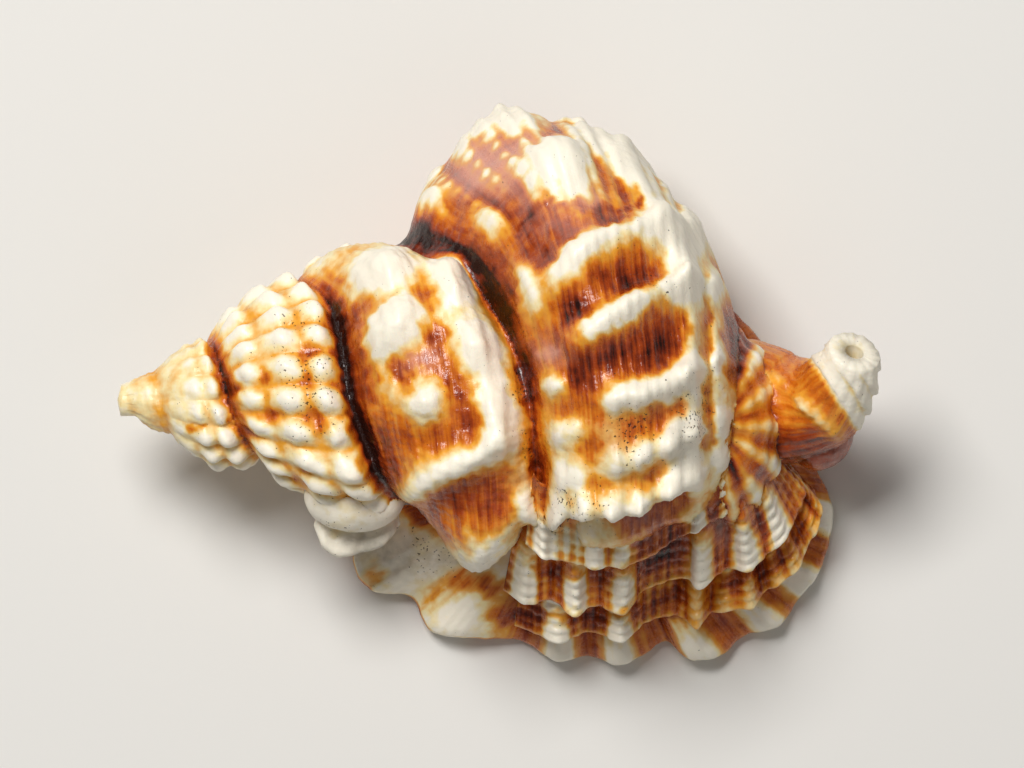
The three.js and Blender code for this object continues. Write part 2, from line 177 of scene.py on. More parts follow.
SHIELD_RIM = [
    (-13.2, -15.4, 3.4), (-11.4, -18.6, 2.4), (-7.9, -19.2, 2), (-6.1, -22.3, 2), (-2.5, -23, 2.6),
    (2.1, -23.2, 1.6), (5.3, -25.1, 2.6), (8.5, -24.6, 1.8), (11.2, -25.5, 2.6), (13.9, -24.2, 1.8),
    (15.5, -23.3, 1.6), (17.5, -24.9, 2.4), (20.3, -24.7, 2.4), (22.5, -22.8, 1.6), (25.7, -21.9, 2.4),
    (27.5, -19.5, 1.6), (29.4, -17.1, 2.2), (30.6, -13, 2), (30.4, -10.1, 2.4), (28, -5, 2),
    (25, 3, 1.6), (18, 10, 1.6), (9, 14, 1.6), (-1, 13, 1.6), (-9, 6, 1.8), (-12.5, -5, 2.4),
]
SHIELD_LOBES = [
    (-10, -18.8), (-4.5, -22.6), (5.6, -25), (11.2, -25.4), (18.9, -24.9), (25, -22.1), (28.6, -18.2),
    (30.6, -12),
]
SHIELD_CENTRE = (8, -6)
SHIELD_CROWN = 11.0

CANAL_PATH = [
    (17, -1, 11), (23, -1.4, 12.2), (27, -2, 14), (29.8, -1.2, 16.8), (31.4, 0.9, 19.6), (32.4, 3.2, 21.8),
]
CANAL_RADII = (6, 5.5, 4.8, 4, 3.3, 2.4)
# Swelling under the bend of the canal, and the ribbed boss between the body whorl and the canal.
BEND_CENTRE = (29.2, -3.5, 12.6)
BEND_RADII = (3.3, 4.1, 4.6)
BOSS_CENTRE = (19.8, -3.6, 14)
BOSS_RADII = (6, 8.8, 8.6)
# The chalky tip starts where a line of this lean in plan passes this distance.
TIP_LEAN = (0.84, 0.54)
TIP_START = 25.3
BORE_PATH = [(30.6, 0, 18.2), (31.4, 0.9, 19.6), (32.4, 3.2, 21.8), (33.2, 5.2, 23.6)]
BORE_RADII = (0.5, 0.8, 0.9, 1.1)

APERTURE_CENTRE = (9, -7.5, 2)
APERTURE_RADII = (10, 4.6, 10)
APERTURE_TURN = math.radians(14)


# Markings and painted shade, in plan: line, half width, and how much pigment they add.
STAINS_AND_SHADE = [
    # Body whorl, between the ribs
    ([(2.6, 15.2), (3.6, 13.2), (5, 11)], 1.5, 0.55),
    ([(4.8, 15.4), (7, 13.6)], 1.0, 0.4),
    ([(9.3, 15.6), (11.6, 14.4)], 0.9, 0.42),
    ([(6, 8.3), (7.5, 6.2)], 1.4, 0.6),
    ([(8.8, 10.2), (11, 9.5), (13.6, 8.8)], 1.3, 0.5),
    ([(11.8, 12), (13.5, 10.5)], 1.2, 0.3),
    ([(6.5, 3), (9, 2.5), (12, 3.2), (15, 4.6)], 1.9, 0.6),
    ([(14.8, 7), (15.2, 4), (14.6, 1.8)], 1.2, 0.3),
    ([(6.5, 1), (8.6, -0.4)], 1.2, 0.5),
    ([(15, -1.8), (14.2, -3.6)], 1.1, 0.42),
    ([(8.2, -6), (8.4, -4.6)], 1.0, 0.35),
    ([(12.8, -8.2), (14.6, -7)], 0.9, 0.22),
    ([(5.6, -1.8), (8, -2.4), (9.4, -2.4)], 1.2, 0.3),
    ([(10.6, -3.8), (13, -3)], 1.2, 0.1),
    ([(7.8, -9), (10.4, -8.6)], 0.9, 0.1),
    ([(4.2, -6.2), (4.6, -9)], 0.8, 0.3),
    ([(16.6, 6.6), (16.8, 3.4)], 0.9, 0.32),
    ([(16.6, -0.8), (16.4, -2.4)], 0.8, 0.3),
    ([(18.9, 10), (19, 4), (18.9, -5.6)], 0.4, 0.15),
    ([(1.6, 13.4), (3, 15.6), (4.8, 16.5), (9, 16.3), (13, 16)], 0.25, 0.4),
    ([(11, -13.6), (13, -13.2), (15.6, -11.6), (16.6, -10.4)], 1.3, 0.6),
    ([(14.5, -14.6), (16.5, -13.5)], 1.0, 0.45),
    # Base of the body whorl
    ([(19.2, -2.2), (19.2, -5.2)], 0.8, 0.4),
    ([(21.2, 6.5), (21.6, 2.5), (21.4, 0.5)], 0.9, 0.7),
    ([(20.6, 13), (21, 9)], 0.7, 0.5),
    ([(21.4, -7), (22, -8.6)], 0.8, 0.45),
    ([(19.6, -10), (20.4, -13)], 0.9, 0.5),
    ([(23.6, -7), (24.4, -8.5)], 0.6, 0.4),
    ([(22.8, -11.6), (24.4, -13)], 0.8, 0.4),
    # Upper shoulder
    ([(4.8, 23.3), (7.5, 21.7), (9.5, 19.2), (12.2, 16.9)], 0.9, 0.3),
    ([(-4.5, 16.5), (-2, 17.6), (1.5, 17), (2.6, 15.8)], 1.3, 0.6),
    ([(-5.5, 18.8), (-2.5, 19.2)], 1.2, 0.4),
    ([(-3, 20.5), (1.5, 21)], 1.4, 0.3),
    ([(-2, 21.6), (2, 22.3), (5.5, 22.8)], 0.8, 0.3),
    ([(8.8, 20.6), (10.2, 18.6), (12.2, 16.9)], 0.8, 0.15),
    # Last seam
    ([(-9, 14.2), (-5, 13.4), (-1.6, 11.6), (0.4, 8.6), (1, 6.6)], 1.4, 0.75),
    ([(1.6, 4.8), (2.5, 0), (3.2, -4), (3.5, -8.8)], 0.4, 0.3),
    ([(3.4, 3.4), (4, -1.5)], 0.9, 0.3),
    ([(0.6, 2.5), (1.5, -2), (2, -6)], 0.6, 0.15),
    # Penultimate whorl
    ([(-12, 7.2), (-8.8, 8.2)], 0.8, 0.35),
    ([(-7.2, 9), (-6.2, 7)], 1.1, 0.45),
    ([(-6, 5.2), (-5.2, 3.6)], 1.0, 0.5),
    ([(-9.2, 2.4), (-8, 0)], 0.8, 0.5),
    ([(-4.6, 2), (-3.8, 0), (-2.6, -2.5), (-2.4, -4.2)], 1.3, 0.55),
    ([(-10.6, -2.6), (-9, -5.4), (-5.6, -4.4), (-3.6, -4.8)], 1.9, 0.5),
    ([(-11.6, -4), (-10.4, -6.4), (-8.6, -8)], 1.2, 0.5),
    ([(-12.8, 7), (-12.2, 2.5), (-11.6, -1)], 1.2, 0.5),
    ([(-8, 2.4), (-6, 2.6)], 1.0, 0.3),
    ([(-6.4, -10.4), (-3.4, -9.6), (0.6, -9)], 2.1, 0.62),
    ([(-5.6, -12.6), (-3, -12), (0.8, -11.4)], 1.5, 0.42),
    ([(0.3, -10.4)], 1.0, 0.25),
    # Seam below the second whorl
    (
        [(-15, 8.8), (-14.4, 5), (-13.6, 1), (-12.6, -3.6), (-11, -7.6), (-9, -10.6), (-6.6, -12.4)],
        0.7, 0.7,
    ),
    ([(-14.4, 7.5), (-13.6, 3), (-12.8, -1), (-11.4, -6)], 1.5, 0.3),
    # Spire
    ([(-25.8, 3.8), (-24.6, 0.6), (-23.6, -2.4), (-22.2, -5)], 0.7, 0.6),
    ([(-20.9, 1)], 0.8, 0.4),
    ([(-17.6, 3.2), (-16, 3.6)], 0.7, 0.4),
    ([(-17.4, 0.5)], 0.6, 0.35),
    ([(-20.4, -2.6)], 0.9, 0.4),
    ([(-17.2, -2.2), (-15.4, -3.6)], 0.7, 0.35),
    ([(-27.4, -3.8)], 0.6, 0.4),
    ([(-18, -8.4)], 0.6, 0.3),
    ([(-15.8, 9.4), (-14, 10)], 0.9, 0.35),
    # Painted shade: dark lines in the gaps between the frills, and on the shield
    ([(1, -20.6), (5, -20.8), (9, -21.2), (14, -20.2), (16.6, -19)], 0.8, 0.5),
    ([(3, -16.6), (9, -17.2), (14, -16.2), (17, -14.2)], 0.7, 0.45),
    ([(20.4, -18), (25.4, -16.4), (27.6, -13), (28.6, -9.6)], 0.7, 0.4),
    ([(-1, -20.6), (1.5, -21), (3.4, -21.6)], 0.7, 0.5),
    ([(-3, -18), (0.6, -18.6)], 1.2, 0.35),
    ([(-11, -17.3)], 1.1, 0.6),
    ([(-6.6, -20.4), (-5.4, -18.2), (-2.4, -17.4), (0, -18.4)], 0.9, 0.5),
]
CREAM = [
    ([(9.5, 21), (12.5, 18.5), (14.5, 15), (16.2, 12), (17, 9)], 1.7, 0.35),
    ([(4.6, 17.4), (5.6, 19.4)], 1.2, 0.25),
    ([(6.4, 16.8), (7.6, 18.6)], 0.9, 0.25),
    ([(10.5, -1), (15, -0.2)], 0.9, 0.3),
    ([(8, 4.6), (11, 6.4), (13.2, 7.4)], 0.9, 0.35),
    ([(5.2, 9.6), (6.4, 11.6), (9.6, 13)], 1.0, 0.3),
    ([(-5, 11), (-3.8, 8.6)], 1.5, 0.25),
    ([(-11, 9.6), (-9, 10.4)], 1.6, 0.3),
    ([(-11, 4.2), (-8, 6.2)], 1.4, 0.3),
    ([(-0.4, 3), (0.8, -1), (1.4, -5)], 1.2, 0.25),
    ([(3.4, -14), (9.4, -13.8)], 1.5, 0.3),
]
PINK = [
    ([(-3, 20.5), (1.5, 21), (4, 22)], 1.6, 0.8),
    ([(-4, 18.6), (0, 18.8), (3, 17.6)], 1.4, 0.6),
    ([(5.4, 17.2), (9, 17)], 1.1, 0.8),
    ([(4, 15.2), (8, 14.2)], 1.0, 0.35),
    ([(4.4, 3.6), (5, 2.4)], 0.9, 0.7),
    ([(-8, 2.4), (-6, 2.6)], 1.0, 0.6),
    ([(10, -13), (14, -13)], 1.0, 0.5),
    ([(20, -12), (20.6, -14)], 1.0, 0.5),
]
SPECKS = [
    ([(10, -3), (14, -5), (17, -2)], 2.6, 0.9),
    ([(4, -9), (9, -9), (12, -9)], 1.6, 0.8),
    ([(4, -13), (9, -12.5)], 1.6, 1.0),
    ([(1.6, 5), (2.6, 0), (3.4, -8.6)], 1.1, 1.0),
    ([(12, 12), (14, 9), (18, 7)], 1.2, 0.6),
    ([(-18, 6), (-17, 0), (-16, -4)], 3.0, 0.8),
    ([(-12, -9.5), (-14, -10)], 2.0, 0.8),
    ([(-8, -14.5), (-3, -16)], 2.4, 0.9),
    ([(-26, -2), (-24, -3)], 1.6, 0.5),
    ([(18.6, 6), (18.6, -6)], 1.2, 0.6),
]
# Grey patches: dull, soiled patches, and painted shade on the lower left by the lip and shield.
GRIME_AND_SHADE = [
    ([(3.5, -13), (9.5, -12.4)], 1.5, 0.8),
    ([(10, -3), (11, -6)], 1.8, 0.7),
    ([(16.6, -1), (16.4, -6.4)], 1.6, 0.7),
    ([(-12, -16), (-4, -15.4), (-1, -16.4)], 2.4, 0.9),
    ([(-15, -14), (-10, -14)], 1.6, 0.9),
    ([(1.4, -8), (2.6, -8.4)], 0.9, 0.6),
]


def smoothstep(value, low, high):
    t = np.clip((value - low) / (high - low), 0, 1)
    return t * t * (3 - 2 * t)


def wave(phase):
    return 0.5 + 0.5 * np.cos(2 * np.pi * phase)


def growth_curve(column):
    """A curve through one column of the growth table that never overshoots it."""
    at, value = GROWTH[:, 0], GROWTH[:, column]
    slope = np.diff(value) / np.diff(at)
    before, after = slope[:-1], slope[1:]
    same_way = before * after > 0
    mean = 2 * before * after / np.where(same_way, before + after, 1)
    tangent = np.concatenate([[0], np.where(same_way, mean, 0), [0]])

    def curve(turn):
        turn = np.clip(turn, at[0], at[-1])
        i = np.clip(np.searchsorted(at, turn) - 1, 0, len(at) - 2)
        span = at[i + 1] - at[i]
        u = (turn - at[i]) / span
        rise = u * u * (3 - 2 * u)
        bend = tangent[i] * (u ** 3 - 2 * u * u + u) + tangent[i + 1] * (u ** 3 - u * u)
        return value[i] * (1 - rise) + value[i + 1] * rise + span * bend

    return curve


suture, neck, swell = (growth_curve(column) for column in (1, 2, 3))


def find_whorl(along, angle):
    """Turn of the whorl at each place, and how far across it the place is, from seam to seam."""
    turn = np.full(along.shape, -2.5)
    across = np.zeros(along.shape)
    open_places = np.ones(along.shape, bool)
    for whorl in range(3, -3, -1):
        here = angle / (2 * np.pi) + whorl
        start, end = suture(here), suture(here + 1)
        found = open_places & (along >= start) & (here < 2.49)
        turn = np.where(found, here, turn)
        share = (along - start) / np.maximum(end - start, 0.1)
        across = np.where(found, np.clip(share, 0, 1), across)
        open_places &= ~found
    return turn, across


def whorl_radius(turn, across):
    rise = np.sin(np.pi / 2 * np.clip(across / ARCH_PEAK, 0, 1)) ** ARCH_RISE
    fall = 1 - np.clip((across - ARCH_PEAK) / (1 - ARCH_PEAK), 0, 1) ** ARCH_FALL
    arch = np.where(across < ARCH_PEAK, rise, fall)
    return neck(turn) * (1 - across) + neck(turn + 1) * across + swell(turn) * arch


def beads(turn, across, ribs_per_turn, apex_ribs, cords):
    """Beads where ribs cross cords, from about -0.25 in the gaps to 0.75 on a bead."""
    early = np.minimum(0, turn + 0.5)
    rib = wave(turn * ribs_per_turn + early * (apex_ribs - ribs_per_turn))
    cord = wave(across * cords - 0.5)
    fade = smoothstep(across, 0, 0.12) * (1 - smoothstep(across, 0.88, 1))
    return fade * (0.12 * rib + 0.1 * cord + 0.85 * np.sqrt(rib * cord) - 0.25)


def soft_line(x, y, line, width):
    """A chain of soft spots along a line in plan, 1 at its fullest."""
    points = np.array(line, float)
    spots = [points[0]]
    for a, b in zip(points[:-1], points[1:]):
        count = math.ceil(np.hypot(*(b - a)) / (0.6 * width))
        spots += [a + (b - a) * k / count for k in range(1, count + 1)]
    spots = np.array(spots)

    def total(px, py):
        result = np.zeros(px.shape)
        for spot_x, spot_y in spots:
            result += np.exp(-((px - spot_x) ** 2 + (py - spot_y) ** 2) / width ** 2)
        return result

    low, high = spots.min(axis=0) - 3 * width, spots.max(axis=0) + 3 * width
    near = (x > low[0]) & (x < high[0]) & (y > low[1]) & (y < high[1])
    value = np.zeros(x.shape)
    value[near] = total(x[near], y[near]) / total(spots[:, 0], spots[:, 1]).max()
    return value


def wander(x, y, reach):
    """Places in plan shifted by up to about the reach, so that no mark has a drawn edge."""
    across = np.sin(1.7 * x + 2.3 * y + 1) + 0.7 * np.sin(3.9 * y - 2.6 * x)
    across += 0.5 * np.sin(6.1 * x + 4.7 * y + 2)
    along = np.sin(2.1 * x - 1.6 * y + 4) + 0.7 * np.sin(3.3 * x + 4.1 * y)
    along += 0.5 * np.sin(5.3 * x - 6.7 * y + 3)
    return x + 0.5 * reach * across, y + 0.5 * reach * along


def sum_lines(x, y, marks):
    return sum(amount * soft_line(x, y, line, width) for line, width, amount in marks)


def smooth_path(points, count, closed=False):
    """Even steps of the control points' parameter along a smooth curve through them."""
    points = np.array(points, float)
    last = len(points) if closed else len(points) - 1
    t = np.linspace(0, last, count, endpoint=not closed)
    i = np.minimum(t.astype(int), last - 1)
    u = (t - i)[:, None]
    pick = (lambda k: points[k % len(points)]) if closed else (lambda k: points[np.clip(k, 0, last)])
    before, start, end, after = pick(i - 1), pick(i), pick(i + 1), pick(i + 2)
    return 0.5 * (
        2 * start + (end - before) * u + (2 * before - 5 * start + 4 * end - after) * u ** 2
        + (3 * start - before - 3 * end + after) * u ** 3
    )


def path_length(path):
    return np.concatenate([[0], np.cumsum(np.linalg.norm(np.diff(path, axis=0), axis=1))])


def lobes_along(path, lobes, width):
    """White lobes along an edge: 1 at a lobe, measured along the edge."""
    length = path_length(path)
    value = np.zeros(len(path))
    for lobe in lobes:
        middle = length[np.argmin(np.hypot(path[:, 0] - lobe[0], path[:, 1] - lobe[1]))]
        value = np.maximum(value, np.exp(-((length - middle) / width) ** 2))
    return value


def skin_faces(rows, columns, first, last):
    """Quads between rings of points, with a fan to a point at either end."""
    i, j = np.meshgrid(np.arange(rows - 1), np.arange(columns), indexing="ij")
    k = (j + 1) % columns
    quads = np.stack([i * columns + j, i * columns + k, (i + 1) * columns + k, (i + 1) * columns + j], -1)
    faces = quads.reshape(-1, 4).tolist()
    top = (rows - 1) * columns
    for j in range(columns):
        k = (j + 1) % columns
        faces.append((first, k, j))
        faces.append((last, top + j, top + k))
    return faces


def ring_part(rings, start, end, **fields):
    """A closed part from rings of points (rows, columns, 3), with its surface fields."""
    rows, columns = rings.shape[:2]
    vertices = np.concatenate([rings.reshape(-1, 3), [start, end]])
    faces = skin_faces(rows, columns, len(vertices) - 2, len(vertices) - 1)
    part = {"vertices": vertices, "faces": faces}
    for name in FIELDS:
        value = np.broadcast_to(fields.get(name, 0.0), (rows, columns)).ravel()
        part[name] = np.concatenate([value, [value[0], value[-1]]])
    return part


# How far the marks' edges wander in millimetres, and how strongly stains, painted shade and bleaching tell.
COLOUR_WANDER = 0.45
RELIEF_WANDER = 0.14
STAIN_AND_SHADE_STRENGTH = 0.82
BLEACH_STRENGTH = 0.52
# Pigment above this is held back to this share, so that the browns don't all turn black.
DEEP_PIGMENT = 0.6
DEEP_SHARE = 0.55
# Surface fields that the parts carry to the finished skin.
FIELDS = ("pigment", "pink", "speck", "grime", "striae", "growth", "fine")


def plan_fields(x, y, base, bleach=0.0):
    """Colour fields at places in plan, from the zone's own pigment and how far its relief is bleached."""
    x, y = wander(x, y, COLOUR_WANDER)
    # Stains and painted shade deepen the pigment, and cream lines pale it.
    pigment = base + STAIN_AND_SHADE_STRENGTH * sum_lines(x, y, STAINS_AND_SHADE) - sum_lines(x, y, CREAM)
    pigment = pigment - BLEACH_STRENGTH * np.clip(bleach, 0, 1.2)
    return {
        "pigment": pigment - (1 - DEEP_SHARE) * np.maximum(pigment - DEEP_PIGMENT, 0),
        "pink": sum_lines(x, y, PINK),
        "speck": sum_lines(x, y, SPECKS),
        "grime": sum_lines(x, y, GRIME_AND_SHADE),
    }


def whorl_part():
    """The coiled whorls with their ribs, knobs and beads."""
    rows, back, under = 230, 264, 32
    reach = math.radians(118)
    angle = np.concatenate([
        np.linspace(-reach, reach, back, endpoint=False),
        np.linspace(reach, 2 * np.pi - reach, under, endpoint=False),
    ])
    angle = np.where(angle > np.pi, angle - 2 * np.pi, angle)
    along, angle = np.meshgrid(np.linspace(0, BASE_LENGTH + 0.6, rows), angle, indexing="ij")
    turn, across = find_whorl(along, angle)
    radius = whorl_radius(turn, across)

    spire = beads(turn, across, 21, 14, 3) * (turn < 0.72) * smoothstep(along, 3, 10)
    far = beads(turn, across, 18, 18, 5) * (turn < 1.74) * smoothstep(turn, 1.3, 1.35)
    x, y = APEX_X + along, AXIS_Y - radius * np.sin(angle)
    shown = smoothstep(np.cos(angle), -0.35, 0.05)
    stains = sum_lines(x, y, STAINS_AND_SHADE)
    wander_x, wander_y = wander(x, y, RELIEF_WANDER)
    lift = sum_lines(wander_x, wander_y, [(line, width, height) for line, width, height, _ in RIDGES])
    bleach = sum_lines(wander_x, wander_y, [(line, width, pale) for line, width, _, pale in RIDGES])
    # The lower ribs break into beads where spiral cords cross them.
    beaded = (1 - smoothstep(y, -3, 1)) * (turn > 1.74) * (lift > 0)
    bead = wave(wander_x / 2.7 + 0.15)
    lift = lift * (1 + beaded * (0.6 * bead - 0.35))
    bleach = bleach * (1 + beaded * (0.7 * bead - 0.5))
    shoulder = smoothstep(y, 13, 18) * (turn > 1.7)
    cords = wave(across * 17) * smoothstep(turn, 0.8, 1.2) * (0.5 + 1.2 * shoulder)
    lattice = shoulder * wave(turn * 84) * wave(across * 17) * (1 - smoothstep(x, 2, 5))
    radius = radius + 1.15 * spire + 1.7 * far + shown * (1.1 * lift - 0.7 * np.clip(stains, 0, 1))
    radius = radius + (0.2 * cords + 0.3 * lattice) * smoothstep(across, 0, 0.1)

    for _ in range(2):
        radius = (np.roll(radius, 1, 1) + 2 * radius + np.roll(radius, -1, 1)) / 4
        padded = np.concatenate([radius[:1], radius, radius[-1:]])
        radius = (padded[:-2] + 2 * radius + padded[2:]) / 4

    z = np.maximum(BODY_FOOT, AXIS_Z + radius * np.cos(angle))
    rings = np.stack([x, AXIS_Y - radius * np.sin(angle), z], -1)
    body = np.interp(y, [-14, -8, -3, 1, 4, 14, 19, 24], [0.32, 0.27, 0.28, 0.42, 0.5, 0.48, 0.4, 0.36])
    body = body - 0.16 * smoothstep(x, 14.2, 16)
    earlier = np.interp(turn, [-0.3, 0.6, 0.8, 1.3, 1.5], [0.17, 0.2, 0.22, 0.2, 0.42])
    base = np.where(turn > 1.74, body, earlier)
    base = base - 0.24 * (spire + 0.02) - 0.5 * far - 0.12 * cords * shoulder - 0.3 * lattice
    # Painted shade: the pigment deepens along the seams between the whorls, where they meet in a crease.
    seam = np.exp(-((across * 22) ** 2)) + np.exp(-(((1 - across) * 22) ** 2))
    fields = plan_fields(x, y, base, bleach * shown)
    fields["pigment"] = fields["pigment"] + 0.25 * seam * smoothstep(turn, -0.8, 0.2)
    return ring_part(
        rings, (APEX_X - 0.4, AXIS_Y, AXIS_Z), (APEX_X + BASE_LENGTH + 0.8, AXIS_Y, AXIS_Z),
        striae=across * np.interp(turn, [-1, 0.5, 1, 1.75], [12, 24, 40, 64]),
        growth=turn * np.interp(turn, [-1, 1, 1.75, 2.2], [14, 44, 80, 96]),
        fine=1.0, **fields,
    )


def frill_part(
        edge, heart, reach, rise, thickness, lobes, lobe_width, ground, stained=(), cord_gap=0.95):
    """One frill of the lip: a thin ledge of pale corded fingers with stained, threaded gaps between."""
    span = path_length(smooth_path(edge, 200))[-1]
    path = smooth_path(edge, int(span / 0.24))
    root = np.stack([np.clip(path[:, 0], *heart), np.full(len(path), AXIS_Y)], -1)
    inward = root - path[:, :2]
    inward /= np.linalg.norm(inward, axis=1)[:, None]
    white = lobes_along(path, lobes, lobe_width)
    finger = np.maximum(white, lobes_along(path, stained, lobe_width))
    length = path_length(path)
    thread = wave(length / 1.05) * (1 - finger)
    upper = [(0.0, 0.34), (0.01, 0.15), (0.03, 0.04)]
    upper += [(share, 0.0) for share in np.linspace(0.06, 1, int(reach / 0.27))]
    lower = [(share, 1.0 - 0.4 * (1 - share)) for share in np.linspace(1, 0.05, 8)] + [(0.01, 0.5)]
    rings, pigment = [], []
    for share, drop in upper + lower:
        taper = (1 - smoothstep(share, 0.5, 0.95)) * (1 - smoothstep(drop, 0.15, 0.5))
        cord = wave(share * reach / cord_gap - 0.2)
        lift = taper * (1.25 * finger - 0.25 + 0.42 * cord * (0.5 + 0.5 * finger) + 0.3 * thread)
        place = path[:, :2] + inward * (reach * share - 0.35 * lift)[:, None]
        rings.append(np.column_stack([place, path[:, 2] + rise * share ** 1.3 - thickness * drop + lift]))
        pale = smoothstep(white, 0.08, 0.72) * (1 - smoothstep(share, 0.3, 0.8))
        honeyed = smoothstep(finger - white, 0.4, 0.9) * taper
        pigment.append(ground * (1 - pale) - 0.2 * thread * taper - 0.06 * cord - 0.2 * honeyed)
    rings, pigment = np.array(rings).transpose(1, 0, 2), np.array(pigment).T
    x, y = rings[..., 0], rings[..., 1]
    return ring_part(
        rings, rings[0].mean(axis=0), rings[-1].mean(axis=0),
        striae=np.broadcast_to((length / 0.5)[:, None], x.shape),
        growth=np.hypot(x - path[:, :1], y - path[:, 1:2]) / 0.7,
        fine=0.6, **plan_fields(x, y, pigment),
    )


def shield_part():
    """The flat-bottomed shield round the mouth, with its lobed rim."""
    sectors, steps = 330, 26
    rim = smooth_path(SHIELD_RIM, sectors, closed=True)
    lobe = smoothstep(lobes_along(rim, SHIELD_LOBES, 2.0), 0.15, 0.85)
    left = 1 - smoothstep(rim[:, 0], -3, 3)
    length = path_length(rim)
    centre = np.array(SHIELD_CENTRE, float)
    rings, pigments = [], []
    profile = [(0.5, 0.0), (0.93, 0.0), (0.975, 0.0), (0.992, 0.35), (1.0, 0.75)]
    for share, lift in profile:
        place = centre + (rim[:, :2] - centre) * share
        rings.append(np.column_stack([place, rim[:, 2] * lift]))
        pigments.append(np.where(np.full(sectors, lift) > 0.1, 0.55 - 0.5 * lobe, 0.06))
    for share in np.linspace(0.99, 0.06, steps):
        place = centre + (rim[:, :2] - centre) * share
        z = SHIELD_CROWN + (rim[:, 2] - SHIELD_CROWN) * share ** 1.6
        near_rim = smoothstep(share, 0.6, 1)
        z = z + near_rim * (0.5 * lobe + 0.1 * wave(length / 1.0) + 0.2 * wave(share * 12))
        rings.append(np.column_stack([place, z]))
        rayed = 0.72 - 0.66 * lobe * near_rim - 0.1 * wave(length / 1.0)
        pigments.append(rayed * (1 - left) + 0.06 * left)
    rings, pigment = np.array(rings), np.array(pigments)
    x, y = rings[..., 0], rings[..., 1]
    colour = plan_fields(x, y, pigment)
    flat = rings[..., 2] < 0.01
    colour["pigment"] = np.where(flat, 0.05, colour["pigment"])
    colour["speck"] = np.where(flat, 0.0, colour["speck"])
    return ring_part(
        rings, (*SHIELD_CENTRE, 0), (*SHIELD_CENTRE, SHIELD_CROWN),
        striae=np.broadcast_to((length / 0.6)[None, :], x.shape),
        growth=np.broadcast_to(np.linspace(0, 30, len(rings))[:, None], x.shape),
        fine=np.where(flat, 0.0, 0.5), **colour,
    )


def tube_rings(path_points, radii, sides, steps):
    """Rings round a smooth path: places, the middle of each ring, and its station from 0 to 1."""
    path = smooth_path(path_points, steps)
    station = np.linspace(0, 1, steps)
    radius = np.interp(station * (len(radii) - 1), np.arange(len(radii)), radii)
    tangent = np.gradient(path, axis=0)
    tangent /= np.linalg.norm(tangent, axis=1)[:, None]
    side = np.cross(tangent, (0, 0, 1))
    side /= np.linalg.norm(side, axis=1)[:, None]
    up = np.cross(side, tangent)
    around = np.linspace(0, 2 * np.pi, sides, endpoint=False)
    out = side[:, None] * np.cos(around)[None, :, None] + up[:, None] * np.sin(around)[None, :, None]
    return path, station, radius, around, out


CANAL_KNOBS = [
    ([(22.6, 3.4), (23.4, 2.2)], 1.0, 0.7), ([(24.8, 0.6)], 0.7, 0.6), ([(26, 0.4)], 0.6, 0.5),
    ([(23.8, -1)], 1.2, 0.8), ([(27.5, -1), (29, -2.2), (31, -4.2)], 0.8, 0.7),
]


def canal_part():
    """The siphonal canal: a stained, fluted neck and a chalky tip folded in slanting growth steps."""
    path, station, radius, around, out = tube_rings(CANAL_PATH, CANAL_RADII, 84, 100)
    place = path[:, None] + out * radius[:, None, None]
    x, y = place[..., 0], place[..., 1]
    beyond = TIP_LEAN[0] * x + TIP_LEAN[1] * y - TIP_START
    tip = smoothstep(beyond, -0.25, 0.35)
    step = beyond / 1.5 - np.floor(beyond / 1.5)
    folds = tip * (0.55 * (1 - step) * smoothstep(step, 0, 0.2) - 0.25)
    folds = folds * (1 - smoothstep(station, 0.86, 0.97))[:, None]
    upper = smoothstep(out[..., 2], -0.2, 0.3)
    knobs = sum_lines(x, y, CANAL_KNOBS) * upper * (1 - tip)
    flutes = 0.5 * wave(around * 26 / (2 * np.pi))[None, :] * (1 - tip)
    place = place + out * (folds + knobs + 0.22 * flutes)[..., None]
    low_side = smoothstep(-y, 2.5, 5.5)
    pigment = 0.56 + 0.26 * low_side - 0.42 * knobs - 0.1 * flutes
    pigment = pigment * (1 - smoothstep(beyond, -0.5, 0.3)) + 0.12 * tip * smoothstep(step, 0.7, 1)
    return ring_part(
        place, path[0], path[-1],
        pigment=pigment, grime=0.2 * tip,
        striae=np.broadcast_to((around * 44 / (2 * np.pi))[None, :], x.shape),
        growth=np.broadcast_to((station * 40)[:, None], x.shape), fine=0.7,
    )


def bore_part():
    path, _, radius, _, out = tube_rings(BORE_PATH, BORE_RADII, 32, 24)
    rings = path[:, None] + out * radius[:, None, None]
    # The bore's wall is greyed as painted shade inside the hole.
    return ring_part(rings, path[0], path[-1], pigment=0.12, grime=0.5)


def ball_angles(rows, columns):
    """Angles down from the pole and round the vertical, for the rings of a ball."""
    down = np.linspace(0, np.pi, rows + 2)[1:-1, None]
    around = np.linspace(0, 2 * np.pi, columns, endpoint=False)[None, :]
    return down, around


def ball_rings(centre, radii, down, around, size=1.0, turn=0.0):
    """Rings of an ellipsoid turned about the vertical, and its upper and lower poles."""
    ball = np.stack(np.broadcast_arrays(
        radii[0] * size * np.sin(down) * np.cos(around),
        radii[1] * size * np.sin(down) * np.sin(around),
        radii[2] * size * np.cos(down),
    ), -1)
    cosine, sine = math.cos(turn), math.sin(turn)
    spin = np.array([(cosine, sine, 0), (-sine, cosine, 0), (0, 0, 1)])
    centre, pole = np.array(centre, float), np.array([0, 0, radii[2]])
    return ball @ spin + centre, centre + pole, centre - pole


def ball_part(centre, radii, turn=0.0, **fields):
    """An ellipsoid, turned about the vertical."""
    return ring_part(*ball_rings(centre, radii, *ball_angles(48, 80), turn=turn), **fields)


